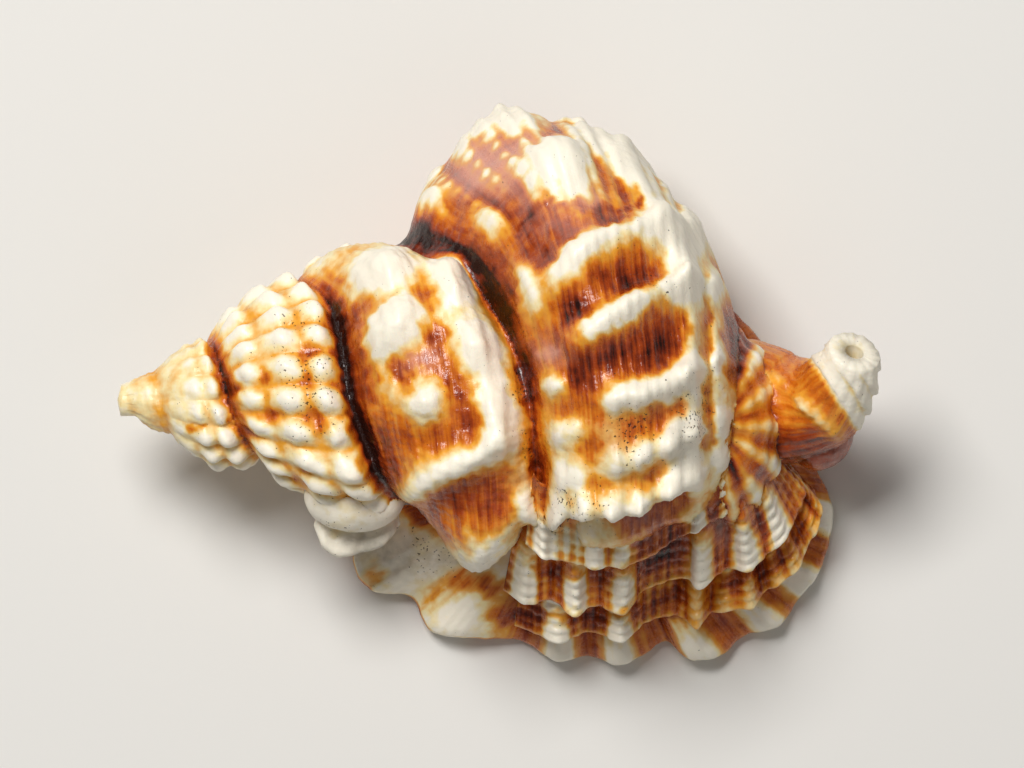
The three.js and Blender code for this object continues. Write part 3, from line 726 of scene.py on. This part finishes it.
def boss_part():
    """The rounded base of the body whorl, with pale ribs that fan towards the lip."""
    down, around = ball_angles(60, 150)
    rib = wave(around * 15 / (2 * np.pi)) * np.sin(down)
    cord = wave(down * 11 / np.pi) * np.sin(down)
    boss, top, foot = ball_rings(BOSS_CENTRE, BOSS_RADII, down, around, 1 + 0.07 * rib + 0.03 * cord)
    x, y = boss[..., 0], boss[..., 1]
    return ring_part(
        boss, top, foot, fine=0.7,
        striae=np.broadcast_to(around * 40 / (2 * np.pi), x.shape),
        growth=np.broadcast_to(down * 12, x.shape),
        **plan_fields(x, y, 0.56 - 0.44 * rib - 0.1 * cord),
    )


def part_object(name, part):
    """A mesh object of one part, in metres, with its faces turned outwards."""
    mesh = bpy.data.meshes.new(name)
    mesh.from_pydata((part["vertices"] * MM).tolist(), [], part["faces"])
    corners = part["vertices"]
    volume = 0.0
    for face in part["faces"]:
        a = corners[face[0]]
        for k in range(1, len(face) - 1):
            volume += np.dot(a, np.cross(corners[face[k]], corners[face[k + 1]]))
    if volume < 0:
        mesh.flip_normals()
    thing = bpy.data.objects.new(name, mesh)
    bpy.context.scene.collection.objects.link(thing)
    return thing


def plain_mesh(thing, name):
    """The evaluated object as a plain mesh."""
    depsgraph = bpy.context.evaluated_depsgraph_get()
    mesh = bpy.data.meshes.new_from_object(thing.evaluated_get(depsgraph), depsgraph=depsgraph)
    mesh.name = name
    return mesh


def joined_skin(added, removed):
    """One closed skin: the parts fused together, less the hollows."""
    things = [part_object("part", part) for part in added + removed]
    first = things[0]
    for index, thing in enumerate(things[1:], 1):
        cut = first.modifiers.new("join", "BOOLEAN")
        cut.object = thing
        cut.operation = "UNION" if index < len(added) else "DIFFERENCE"
        cut.solver = "MANIFOLD"
    mesh = plain_mesh(first, "shell")
    for thing in things:
        bpy.data.meshes.remove(thing.data)
    return mesh


def mesh_places(mesh):
    places = np.empty(3 * len(mesh.vertices), np.float32)
    mesh.vertices.foreach_get("co", places)
    return places.reshape(-1, 3)


def hollowness(mesh):
    """How deep each point lies, from -1 on a crest to 1 in a crevice, over about a millimetre."""
    count = len(mesh.vertices)
    edges = np.empty(2 * len(mesh.edges), np.int32)
    mesh.edges.foreach_get("vertices", edges)
    start, end = np.concatenate([edges[::2], edges[1::2]]), np.concatenate([edges[1::2], edges[::2]])
    normals = np.empty(3 * count, np.float32)
    mesh.vertex_normals.foreach_get("vector", normals)
    places = mesh_places(mesh)
    neighbours = np.maximum(np.bincount(start, minlength=count), 1)
    calm = places.astype(float)
    for _ in range(30):
        total = np.stack([np.bincount(start, calm[end, k], count) for k in range(3)], -1)
        calm = total / neighbours[:, None]
    depth = ((calm - places) * normals.reshape(-1, 3)).sum(axis=1)
    return np.clip(depth / (0.3 * MM), -1, 1)


def carry_fields(mesh, parts):
    """Gives each point of the skin the fields of the part that it came from, and paints shade into its
    pigment in crevices.
    """
    places = np.concatenate([part["vertices"] for part in parts]) * MM
    tree = kdtree.KDTree(len(places))
    for index, place in enumerate(places):
        tree.insert(place, index)
    tree.balance()
    source = np.array([tree.find(vertex.co)[1] for vertex in mesh.vertices])
    hollow = hollowness(mesh)
    for name in FIELDS:
        values = np.concatenate([part[name] for part in parts])[source]
        if name == "pigment":
            # Painted shade: deeper pigment in crevices and a little paler pigment on crests, except near the
            # foot.
            above_foot = smoothstep(mesh_places(mesh)[:, 2], 0.5 * MM, 2 * MM)
            values = values + np.where(hollow > 0, 0.13, 0.08) * hollow * above_foot
        mesh.attributes.new(name, "FLOAT", "POINT").data.foreach_set("value", values.astype(np.float32))


# Node trees

MATH, RANGE, NOISE = "ShaderNodeMath", "ShaderNodeMapRange", "ShaderNodeTexNoise"
# Size in millimetres and detail of the material's patches, mottling, grain and flecks.
NOISE_SIZES = ((3.2, 3.0), (0.9, 4.0), (0.3, 3.0), (0.27, 1.0))


def node(tree, kind, *values, named=None, **settings):
    """Adds a node with its settings, sets or links its inputs in order or by name, and gives its outputs."""
    made = tree.nodes.new(kind)
    for key, value in settings.items():
        setattr(made, key, value)
    for key, value in [*enumerate(values), *(named or {}).items()]:
        if isinstance(value, bpy.types.NodeSocket):
            tree.links.new(value, made.inputs[key])
        else:
            made.inputs[key].default_value = value
    return made.outputs


def linear(hex_colour):
    """Linear red, green and blue from an sRGB hex value."""
    channels = [int(hex_colour[i:i + 2], 16) / 255 for i in (1, 3, 5)]
    return tuple(c / 12.92 if c <= 0.04045 else ((c + 0.055) / 1.055) ** 2.4 for c in channels)


def new_tree(name, inputs):
    """An empty geometry tree with its named inputs, and a geometry in and out."""
    tree = bpy.data.node_groups.new(name, "GeometryNodeTree")
    for label, kind in (("Geometry", "Geometry"), *inputs, ("Material", "Material")):
        tree.interface.new_socket(label, in_out="INPUT", socket_type="NodeSocket" + kind)
    tree.interface.new_socket("Geometry", in_out="OUTPUT", socket_type="NodeSocketGeometry")
    return tree


def close_tree(tree, geometry, material):
    """Ends a geometry tree: smooth shading, real meshes, the material and the output."""
    smooth = node(tree, "GeometryNodeSetShadeSmooth", geometry)
    real = node(tree, "GeometryNodeRealizeInstances", smooth[0])
    dressed = node(tree, "GeometryNodeSetMaterial", named={"Geometry": real[0], "Material": material})
    node(tree, "NodeGroupOutput", dressed[0])
    return tree


def sculpture_tree():
    """Fine relief that follows the shell's growth: spiral cords, growth lines and a worn grain."""
    tree = new_tree("Shell sculpture", [
        ("Cord Height", "Float"), ("Growth Line Depth", "Float"), ("Grain Height", "Float"),
        ("Grain Size", "Float"), ("Seed", "Float"),
    ])
    put = partial(node, tree)
    given = put("NodeGroupInput")
    striae, growth, fine = (
        put("GeometryNodeInputNamedAttribute", name, data_type="FLOAT")[0]
        for name in ("striae", "growth", "fine")
    )
    # One cord to every three threads of the striae.
    cord = put(MATH, striae, 2 * math.pi / 3, operation="MULTIPLY")[0]
    cord = put(MATH, cord, operation="SINE")[0]
    place = put("GeometryNodeInputPosition")[0]
    scale = put(MATH, 1.0, given["Grain Size"], operation="DIVIDE")[0]
    grain = put(
        NOISE, named={"Vector": place, "W": given["Seed"], "Scale": scale, "Detail": 3.0},
        noise_dimensions="4D",
    )[0]
    # Growth lines drift with the grain.
    line = put(MATH, grain, 2.4, growth, operation="MULTIPLY_ADD")[0]
    line = put(MATH, line, 2 * math.pi, operation="MULTIPLY")[0]
    line = put(MATH, line, operation="SINE")[0]
    grain = put(MATH, grain, 0.5, operation="SUBTRACT")[0]
    lift = put(MATH, cord, given["Cord Height"], operation="MULTIPLY")[0]
    lift = put(MATH, line, given["Growth Line Depth"], lift, operation="MULTIPLY_ADD")[0]
    lift = put(MATH, grain, given["Grain Height"], lift, operation="MULTIPLY_ADD")[0]
    lift = put(MATH, lift, fine, operation="MULTIPLY")[0]
    normal = put("GeometryNodeInputNormal")[0]
    offset = put("ShaderNodeVectorMath", normal, named={"Scale": lift}, operation="SCALE")[0]
    moved = put("GeometryNodeSetPosition", named={"Geometry": given["Geometry"], "Offset": offset})
    return close_tree(tree, moved[0], given["Material"])


def teeth_tree():
    """A ring of small teeth round the mouth's rim, each a worn rounded knob."""
    tree = new_tree("Mouth teeth", [
        ("Count", "Int"), ("Tooth Size", "Vector"), ("Ring Radii", "Vector"), ("Ring Place", "Vector"),
        ("Ring Turn", "Vector"), ("Seed", "Int"),
    ])
    put = partial(node, tree)
    given = put("NodeGroupInput")
    circle = put("GeometryNodeCurvePrimitiveCircle", named={"Resolution": 96, "Radius": 1.0})
    ring = put("GeometryNodeTransform", named={
        "Geometry": circle[0], "Translation": given["Ring Place"], "Rotation": given["Ring Turn"],
        "Scale": given["Ring Radii"],
    })
    points = put(
        "GeometryNodeCurveToPoints", named={"Curve": ring[0], "Count": given["Count"]}, mode="COUNT")
    knob = put("GeometryNodeMeshUVSphere", named={"Segments": 14, "Rings": 9, "Radius": 1.0})
    sized = put("GeometryNodeTransform", named={"Geometry": knob[0], "Scale": given["Tooth Size"]})
    facing = put("FunctionNodeAlignRotationToVector", named={"Vector": points["Tangent"]}, axis="Y")
    vary = put(
        "FunctionNodeRandomValue", (0.7, 0.7, 0.7), (1.2, 1.15, 1.1), named={"Seed": given["Seed"]},
        data_type="FLOAT_VECTOR")
    placed = put("GeometryNodeInstanceOnPoints", named={
        "Points": points[0], "Instance": sized[0], "Rotation": facing[0], "Scale": vary[0],
    })
    return close_tree(tree, placed[0], given["Material"])


def grown(name, mesh, tree, values):
    """A finished piece: a mesh passed through a node tree, with the tree's named inputs set."""
    thing = bpy.data.objects.new(name, mesh)
    bpy.context.scene.collection.objects.link(thing)
    growth = thing.modifiers.new("growth", "NODES")
    growth.node_group = tree
    for item in tree.interface.items_tree:
        if item.item_type == "SOCKET" and item.in_out == "INPUT" and item.name in values:
            growth[item.identifier] = values[item.name]
    result = plain_mesh(thing, name)
    thing.modifiers.clear()
    thing.data = result
    bpy.data.meshes.remove(mesh)
    return thing


def shell_material(colours):
    """Glossy aragonite, smoothed by the sea: porcelain-like white on the knobs, soaking into honey,
    red-brown and near black in the gaps, with fine spiral lines, dark specks and a wet-looking polish."""
    material = bpy.data.materials.new("Polished aragonite shell")
    material.use_nodes = True
    tree = material.node_tree
    tree.nodes.clear()
    put = partial(node, tree)
    pigment, pink, speck, grime, striae, growth = (
        put("ShaderNodeAttribute", attribute_name=name)["Fac"] for name in FIELDS[:6])
    place = put("ShaderNodeTexCoord")["Object"]
    blotch, mottle, grain, fleck = (
        put(NOISE, named={"Vector": place, "Scale": 1 / (size * MM), "Detail": detail})[0]
        for size, detail in NOISE_SIZES
    )
    # The striae field counts threads of about 0.5 mm, so a streak is a thread or two wide.
    along = put(MATH, growth, 0.14, operation="MULTIPLY")[0]
    ways = put("ShaderNodeCombineXYZ", striae, along)[0]
    streak = put(NOISE, named={"Vector": ways, "Scale": 0.8, "Detail": 3.0})[0]
    streak = put(RANGE, streak, 0.3, 0.7)[0]

    # Depth of colour: the painted pigment, broken up by patches, mottling and streaks in the browns.
    level = put(MATH, blotch, 0.5, pigment, operation="MULTIPLY_ADD")[0]
    level = put(MATH, mottle, 0.3, level, operation="MULTIPLY_ADD")[0]
    level = put(MATH, level, 0.4, operation="SUBTRACT")[0]
    soaked = put(RANGE, level, 0.25, 0.6, 0.0, 0.3)[0]
    thread = put(MATH, streak, 0.5, operation="SUBTRACT")[0]
    level = put(MATH, thread, soaked, level, operation="MULTIPLY_ADD")[0]
    ramp = put("ShaderNodeValToRGB", level)[0]
    stops = ramp.node.color_ramp.elements
    while len(stops) > 1:
        stops.remove(stops[-1])
    for index, (at, colour) in enumerate(colours["ramp"]):
        stop = stops[0] if index == 0 else stops.new(at)
        stop.position = at
        stop.color = (*colour, 1)

    tint = put(RANGE, level, 0.1, 0.4, 0.0, 0.85)[0]
    tint = put(MATH, tint, pink, operation="MULTIPLY")[0]
    patch = put(RANGE, mottle, 0.3, 0.7, 0.35, 0.9)[0]
    # Grey over the paler places: dull, soiled patches, and painted shade on the lower lip and in the bore.
    dirt_and_shade = put(RANGE, level, 0.5, 0.1)[0]
    dirt_and_shade = put(MATH, dirt_and_shade, patch, operation="MULTIPLY")[0]
    dirt_and_shade = put(MATH, dirt_and_shade, grime, operation="MULTIPLY")[0]
    crowd = put(RANGE, blotch, 0.4, 0.62, 0.02, 0.2)[0]
    fleck = put(MATH, crowd, speck, fleck, operation="MULTIPLY_ADD")[0]
    spot = put(RANGE, fleck, 0.76, 0.81, 0.0, 0.85)[0]
    colour = ramp
    for share, name in ((tint, "pink"), (dirt_and_shade, "grime"), (spot, "speck")):
        over = (*colours[name], 1)
        colour = put("ShaderNodeMix", named={0: share, 6: colour, 7: over}, data_type="RGBA")[2]

    # The browns keep their polish, the white is worn duller, and the grey of soiled patches and painted
    # shade is matt.
    rough = put(RANGE, level, 0.0, 0.7, 0.3, 0.12)[0]
    rough = put(MATH, grime, 0.2, rough, operation="MULTIPLY_ADD")[0]
    rough = put(MATH, grain, 0.25, rough, operation="MULTIPLY_ADD")[0]

    brown = put(RANGE, level, 0.3, 0.7, 0.3, 1.0)[0]
    height = put(MATH, streak, 0.3, operation="MULTIPLY")[0]
    height = put(MATH, mottle, height, operation="ADD")[0]
    height = put(MATH, height, brown, operation="MULTIPLY")[0]
    height = put(MATH, grain, 0.22, height, operation="MULTIPLY_ADD")[0]
    height = put(MATH, spot, -0.5, height, operation="MULTIPLY_ADD")[0]
    bump = put("ShaderNodeBump", named={"Strength": 0.55, "Distance": 0.26 * MM, "Height": height})[0]
    shader = put("ShaderNodeBsdfPrincipled", named={
        "Base Color": colour, "Roughness": rough, "Normal": bump, "IOR": 1.45,
        "Coat Weight": 0.06, "Coat Roughness": 0.12, "Subsurface Weight": 0.06,
        "Subsurface Radius": (1.2 * MM, 0.8 * MM, 0.5 * MM), "Subsurface Scale": 1.0,
    })[0]
    put("ShaderNodeOutputMaterial", shader)
    return material


def floor_material(colour):
    """Matt pale card: an even, soft ground."""
    material = bpy.data.materials.new("Matt pale card")
    material.use_nodes = True
    shader = material.node_tree.nodes["Principled BSDF"]
    shader.inputs["Base Color"].default_value = (*colour, 1)
    shader.inputs["Roughness"].default_value = 0.8
    return material


# Settings, operators and panel

class ShellSettings(bpy.types.PropertyGroup):
    cord_height: bpy.props.FloatProperty(
        name="Cord height", description="Height of the fine spiral cords", default=0.05 * MM, unit="LENGTH")
    growth_line_depth: bpy.props.FloatProperty(
        name="Growth line depth", description="Depth of the growth lines", default=0.03 * MM, unit="LENGTH")
    grain_height: bpy.props.FloatProperty(
        name="Grain height", description="Height of the worn grain", default=0.7 * MM, unit="LENGTH")
    grain_size: bpy.props.FloatProperty(
        name="Grain size", description="Size of the worn grain", default=2.2 * MM, unit="LENGTH")
    tooth_count: bpy.props.IntProperty(
        name="Teeth", description="Number of teeth round the mouth", default=17)
    tooth_size: bpy.props.FloatVectorProperty(
        name="Tooth size", description="Half sizes of a tooth", default=(1.5 * MM, 0.6 * MM, 0.8 * MM),
        unit="LENGTH")
    seed: bpy.props.IntProperty(name="Seed", description="Fixes the random grain and teeth", default=7)


# Colours of the shell: name, label, what it colours, value, and its place on the pigment ramp if any.
TONES = (
    ("porcelain", "Porcelain white", "Colour of the knobs", "#F7EEDA", 0.0),
    ("cream", "Cream", "Colour round the knobs", "#F4DFA6", 0.13),
    ("honey", "Honey", "Colour at the edge of the stains", "#E8A234", 0.3),
    ("amber", "Amber", "Colour of the lighter stains", "#CC6C14", 0.49),
    ("chestnut", "Chestnut", "Colour of the gaps between ribs", "#9C3D0E", 0.7),
    ("umber", "Umber", "Colour of the darkest stains", "#641F09", 0.88),
    ("seam", "Seam", "Colour deep in the seams", "#240B05", 1.0),
    ("pink", "Pink", "Tint of the shoulder", "#D69F90", None),
    # The grey tint stands for dull patches and also for painted shade on the lower lip and in the bore.
    ("grime", "Grime", "Tint of the dull patches", "#B9B1A0", None),
)
for tone, label, text, value, _ in TONES:
    ShellSettings.__annotations__[tone] = bpy.props.FloatVectorProperty(
        name=label, description=text, subtype="COLOR", default=linear(value))


class StageSettings(bpy.types.PropertyGroup):
    camera_distance: bpy.props.FloatProperty(
        name="Camera distance", description="From the shell's middle to the camera", default=2.0,
        unit="LENGTH")
    view_width: bpy.props.FloatProperty(
        name="View width", description="Width of the picture at the shell", default=93.1 * MM,
        unit="LENGTH")
    view_centre: bpy.props.FloatVectorProperty(
        name="View centre", description="Where the camera looks", default=(1.36 * MM, 0.27 * MM, 15 * MM),
        subtype="TRANSLATION")
    key_power: bpy.props.FloatProperty(
        name="Key power", description="Power of the main light", default=4.6, unit="POWER")
    fill_power: bpy.props.FloatProperty(
        name="Fill power", description="Power of the fill light", default=0.7, unit="POWER")
    floor: bpy.props.FloatVectorProperty(
        name="Floor", description="Colour of the floor", subtype="COLOR", default=linear("#DEDBD5"))


def shell_finish():
    """The shell's material, made once and shared by its pieces."""
    made = bpy.data.materials.get("Polished aragonite shell")
    if made:
        return made
    settings = bpy.context.scene.shell_settings
    tones = {tone: tuple(getattr(settings, tone)) for tone, *_ in TONES}
    return shell_material({
        "ramp": [(step, tones[tone]) for tone, *_, step in TONES if step is not None],
        "pink": tones["pink"], "grime": tones["grime"], "speck": tones["seam"],
    })


class SHELL_OT_grow(bpy.types.Operator):
    """Grows the shell's whorls, lip, shield and canal as one skin"""
    bl_idname = "shell.grow"
    bl_label = "Grow shell"

    def execute(self, context):
        settings = context.scene.shell_settings
        added = [whorl_part(), shield_part(), canal_part(), boss_part()]
        added.append(ball_part(BEND_CENTRE, BEND_RADII, pigment=0.8, fine=1.0))
        added += [frill_part(**frill) for frill in FRILLS]
        added.append(ball_part(
            OLD_LIP_CENTRE, OLD_LIP_RADII, pigment=0.04, grime=0.35, speck=0.3, fine=0.6))
        removed = [ball_part(APERTURE_CENTRE, APERTURE_RADII, APERTURE_TURN, pigment=0.1), bore_part()]
        mesh = joined_skin(added, removed)
        carry_fields(mesh, added + removed)
        piece = grown("shell_skin", mesh, sculpture_tree(), {
            "Cord Height": settings.cord_height, "Growth Line Depth": settings.growth_line_depth,
            "Grain Height": settings.grain_height, "Grain Size": settings.grain_size,
            "Seed": float(settings.seed), "Material": shell_finish(),
        })
        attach(piece, "root")
        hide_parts("shell")
        return {"FINISHED"}


class SHELL_OT_teeth(bpy.types.Operator):
    """Sets the teeth round the rim of the mouth"""
    bl_idname = "shell.teeth"
    bl_label = "Set teeth"

    def execute(self, context):
        settings = context.scene.shell_settings
        piece = grown("mouth_teeth", bpy.data.meshes.new("teeth"), teeth_tree(), {
            "Count": settings.tooth_count, "Tooth Size": tuple(settings.tooth_size),
            "Ring Radii": (APERTURE_RADII[0] * MM, APERTURE_RADII[1] * MM, MM),
            "Ring Place": (APERTURE_CENTRE[0] * MM, APERTURE_CENTRE[1] * MM, 1.3 * MM),
            "Ring Turn": (0.0, 0.0, APERTURE_TURN),
            "Seed": settings.seed, "Material": shell_finish(),
        })
        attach(piece, "root")
        return {"FINISHED"}


class SHELL_OT_stage(bpy.types.Operator):
    """Lays the floor, hangs the lights and sets the camera above the shell"""
    bl_idname = "shell.stage"
    bl_label = "Set stage"

    def execute(self, context):
        scene = context.scene
        stage = scene.stage_settings
        centre = Vector(stage.view_centre)

        half = 1.5
        mesh = bpy.data.meshes.new("floor")
        corners = [(-half, -half, 0), (half, -half, 0), (half, half, 0), (-half, half, 0)]
        mesh.from_pydata(corners, [], [(0, 1, 2, 3)])
        mesh.materials.append(floor_material(tuple(stage.floor)))
        floor = bpy.data.objects.new("floor", mesh)
        scene.collection.objects.link(floor)

        lamps = [
            ("key", (-0.14, 0.27, 0.6), 0.24, stage.key_power),
            ("fill", (0.3, -0.45, 0.5), 0.7, stage.fill_power),
        ]
        for name, place, size, power in lamps:
            light = bpy.data.lights.new(name, "AREA")
            light.size = size
            light.energy = power
            lamp = bpy.data.objects.new(name, light)
            lamp.location = place
            lamp.rotation_euler = (centre - Vector(place)).to_track_quat("-Z", "Y").to_euler()
            scene.collection.objects.link(lamp)

        world = bpy.data.worlds.new("Studio")
        world.use_nodes = True
        # A pale wall behind the floor, which throws only a little light on the shell.
        sky = world.node_tree
        seen = node(sky, "ShaderNodeLightPath")["Is Camera Ray"]
        strength = node(sky, MATH, seen, 0.55, 0.12, operation="MULTIPLY_ADD")[0]
        wall = sky.nodes["Background"].inputs
        wall["Color"].default_value = (1, 1, 1, 1)
        sky.links.new(strength, wall["Strength"])
        scene.world = world
        scene.view_settings.view_transform = "Standard"

        lens = bpy.data.cameras.new("camera")
        lens.sensor_width = 36.0
        lens.lens = lens.sensor_width * stage.camera_distance / stage.view_width
        camera = bpy.data.objects.new("camera", lens)
        camera.location = centre + Vector((0, 0, stage.camera_distance))
        scene.collection.objects.link(camera)
        scene.camera = camera
        return {"FINISHED"}


class SHELL_PT_sidebar(bpy.types.Panel):
    bl_label = "Shell"
    bl_space_type = "VIEW_3D"
    bl_region_type = "UI"
    bl_category = "Shell"

    def draw(self, context):
        layout = self.layout
        for group in (context.scene.shell_settings, context.scene.stage_settings):
            box = layout.box()
            for name in group.__annotations__:
                box.prop(group, name)
        for operator in (SHELL_OT_stage, SHELL_OT_grow, SHELL_OT_teeth):
            layout.operator(operator.bl_idname)


CLASSES = (ShellSettings, StageSettings, SHELL_OT_stage, SHELL_OT_grow, SHELL_OT_teeth, SHELL_PT_sidebar)


def register():
    for cls in CLASSES:
        bpy.utils.register_class(cls)
    bpy.types.Scene.shell_settings = bpy.props.PointerProperty(type=ShellSettings)
    bpy.types.Scene.stage_settings = bpy.props.PointerProperty(type=StageSettings)


def unregister():
    del bpy.types.Scene.stage_settings
    del bpy.types.Scene.shell_settings
    for cls in reversed(CLASSES):
        bpy.utils.unregister_class(cls)


def main():
    register()
    bpy.ops.shell.stage()
    bpy.ops.shell.grow()
    bpy.ops.shell.teeth()


if __name__ == "__main__":
    main()
